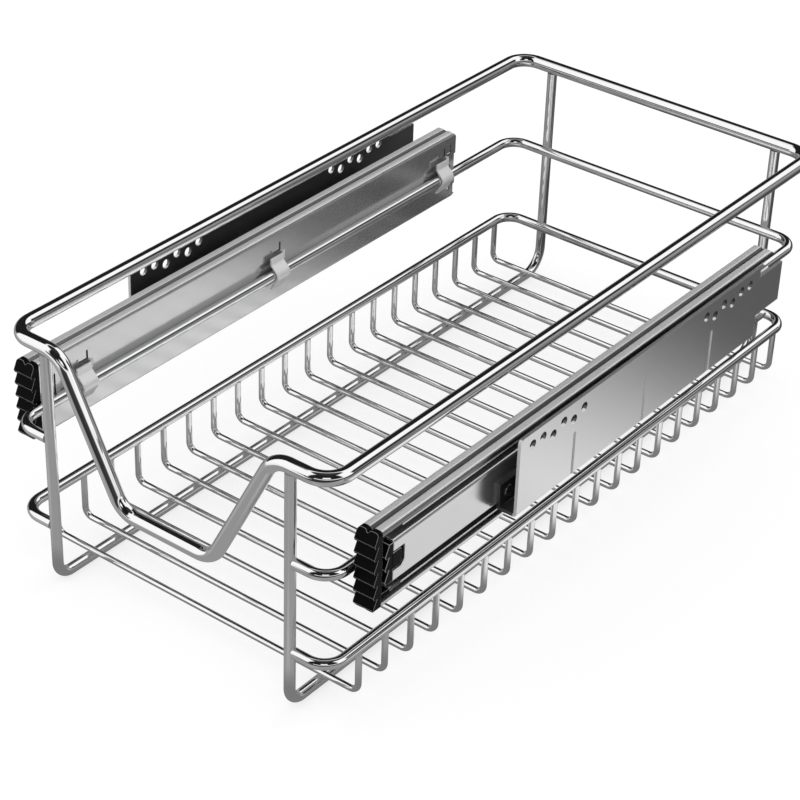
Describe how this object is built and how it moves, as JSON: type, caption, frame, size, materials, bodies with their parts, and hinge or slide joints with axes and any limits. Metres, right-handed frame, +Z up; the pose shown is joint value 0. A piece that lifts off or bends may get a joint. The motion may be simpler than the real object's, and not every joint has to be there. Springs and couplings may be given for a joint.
{
  "type": "pull out cabinet basket",
  "caption": "Chromed wire basket with a dipped handle rail, hung between two full-extension ball slides with screw-on side brackets.",
  "frame": {"origin": "centre of the footprint at the underside of the frame wires", "axes": "+Z up, -Y is the front where the handle rail dips, +X to the right seen from the front"},
  "size_m": [0.264, 0.448, 0.149],
  "materials": {
    "chrome_wire": "bright chrome plating on bent steel wire",
    "slide_steel": "bright zinc plate on roll-formed steel",
    "bracket_steel": "satin zinc plate on folded steel sheet",
    "cage_steel": "oiled pressed steel strip",
    "ball_steel": "polished bearing steel",
    "black_plastic": "black moulded plastic, satin"
  },
  "bodies": {
    "cabinet_side": {"left_bracket": "bracket_steel", "left_rivets": "bracket_steel", "left_cabinet_member": "slide_steel", "left_end_plug": "black_plastic", "right_bracket": "bracket_steel", "right_rivets": "bracket_steel", "right_cabinet_member": "slide_steel", "right_end_plug": "black_plastic"},
    "basket": {"top_rail": "chrome_wire", "middle_rail": "chrome_wire", "lower_rail": "chrome_wire", "left_frame_wire": "chrome_wire", "right_frame_wire": "chrome_wire", "cross_wires": "chrome_wire", "left_drawer_member": "slide_steel", "right_drawer_member": "slide_steel", "left_front_cap": "black_plastic", "right_front_cap": "black_plastic"},
    "left_intermediate": {"left_intermediate_member": "slide_steel"},
    "left_outer_bearing": {"left_outer_cage": "cage_steel", "left_outer_balls": "ball_steel"},
    "left_inner_bearing": {"left_inner_cage": "cage_steel", "left_inner_balls": "ball_steel"},
    "right_intermediate": {"right_intermediate_member": "slide_steel"},
    "right_outer_bearing": {"right_outer_cage": "cage_steel", "right_outer_balls": "ball_steel"},
    "right_inner_bearing": {"right_inner_cage": "cage_steel", "right_inner_balls": "ball_steel"}
  },
  "joints": [
    {"name": "basket_pull", "type": "slide", "parent": "cabinet_side", "child": "basket", "axis": [0, -1, 0], "range_m": [0, 0.35]},
    {"name": "left_intermediate_slide", "type": "slide", "parent": "cabinet_side", "child": "left_intermediate", "axis": [0, -1, 0], "range_m": [0, 0.175]},
    {"name": "left_outer_bearing_roll", "type": "slide", "parent": "left_intermediate", "child": "left_outer_bearing", "axis": [0, -1, 0], "range_m": [0, 0.0875]},
    {"name": "left_inner_bearing_roll", "type": "slide", "parent": "left_intermediate", "child": "left_inner_bearing", "axis": [0, 1, 0], "range_m": [0, 0.0875]},
    {"name": "right_intermediate_slide", "type": "slide", "parent": "cabinet_side", "child": "right_intermediate", "axis": [0, -1, 0], "range_m": [0, 0.175]},
    {"name": "right_outer_bearing_roll", "type": "slide", "parent": "right_intermediate", "child": "right_outer_bearing", "axis": [0, -1, 0], "range_m": [0, 0.0875]},
    {"name": "right_inner_bearing_roll", "type": "slide", "parent": "right_intermediate", "child": "right_inner_bearing", "axis": [0, 1, 0], "range_m": [0, 0.0875]}
  ],
  "couplings": [
    {"joint": "left_intermediate_slide", "follows": "basket_pull", "ratio": 0.5},
    {"joint": "left_outer_bearing_roll", "follows": "basket_pull", "ratio": 0.25},
    {"joint": "left_inner_bearing_roll", "follows": "basket_pull", "ratio": 0.25},
    {"joint": "right_intermediate_slide", "follows": "basket_pull", "ratio": 0.5},
    {"joint": "right_outer_bearing_roll", "follows": "basket_pull", "ratio": 0.25},
    {"joint": "right_inner_bearing_roll", "follows": "basket_pull", "ratio": 0.25}
  ]
}
